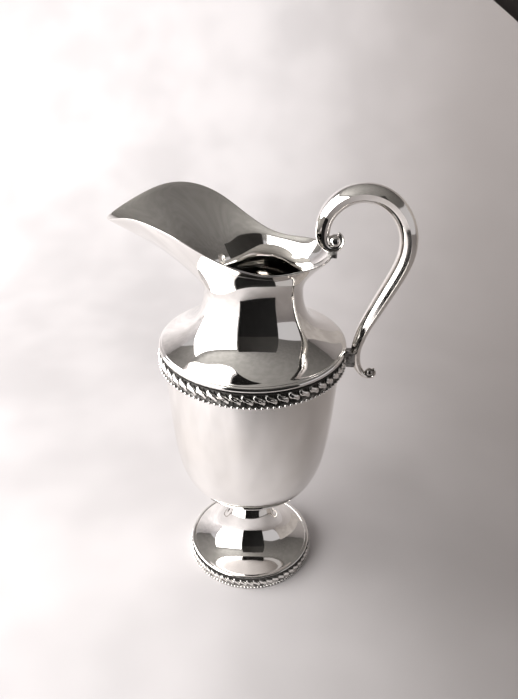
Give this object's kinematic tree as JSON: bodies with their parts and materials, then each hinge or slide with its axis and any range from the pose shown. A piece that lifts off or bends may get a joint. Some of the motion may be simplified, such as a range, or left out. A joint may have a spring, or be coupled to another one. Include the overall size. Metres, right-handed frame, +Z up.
{
  "type": "water pitcher",
  "caption": "Footed urn-shaped polished silver water pitcher with a helmet spout, a high scroll handle, and leaf and bead borders round shoulder and foot.",
  "frame": {"origin": "centre of the foot on the floor", "axes": "+Z up along the axis of the bowl; +X from the axis to the handle, so the lip pours towards -X; +Y completes the right-handed frame"},
  "size_m": [0.1809, 0.121, 0.2811],
  "materials": {
    "polished_silver": "mirror polish with very fine wipe scratches",
    "oxidised_relief": "bright on the raised leaves and beads, dark oxidised in the recesses",
    "scroll_silver": "polished with dark oxidised hollows round the balls",
    "solder_silver": "dull dark grey, oxidised solder"
  },
  "bodies": {
    "root": {"bowl": "polished_silver", "upper_body": "polished_silver", "shoulder_moulding": "polished_silver", "shoulder_border": "oxidised_relief", "foot_pedestal": "polished_silver", "foot_moulding": "polished_silver", "foot_border": "oxidised_relief", "handle_outer_strip": "polished_silver", "handle_inner_strip": "polished_silver", "handle_top_scroll": "scroll_silver", "handle_bottom_scroll": "scroll_silver", "handle_upper_pad": "solder_silver", "handle_lower_pad": "solder_silver"}
  },
  "joints": []
}
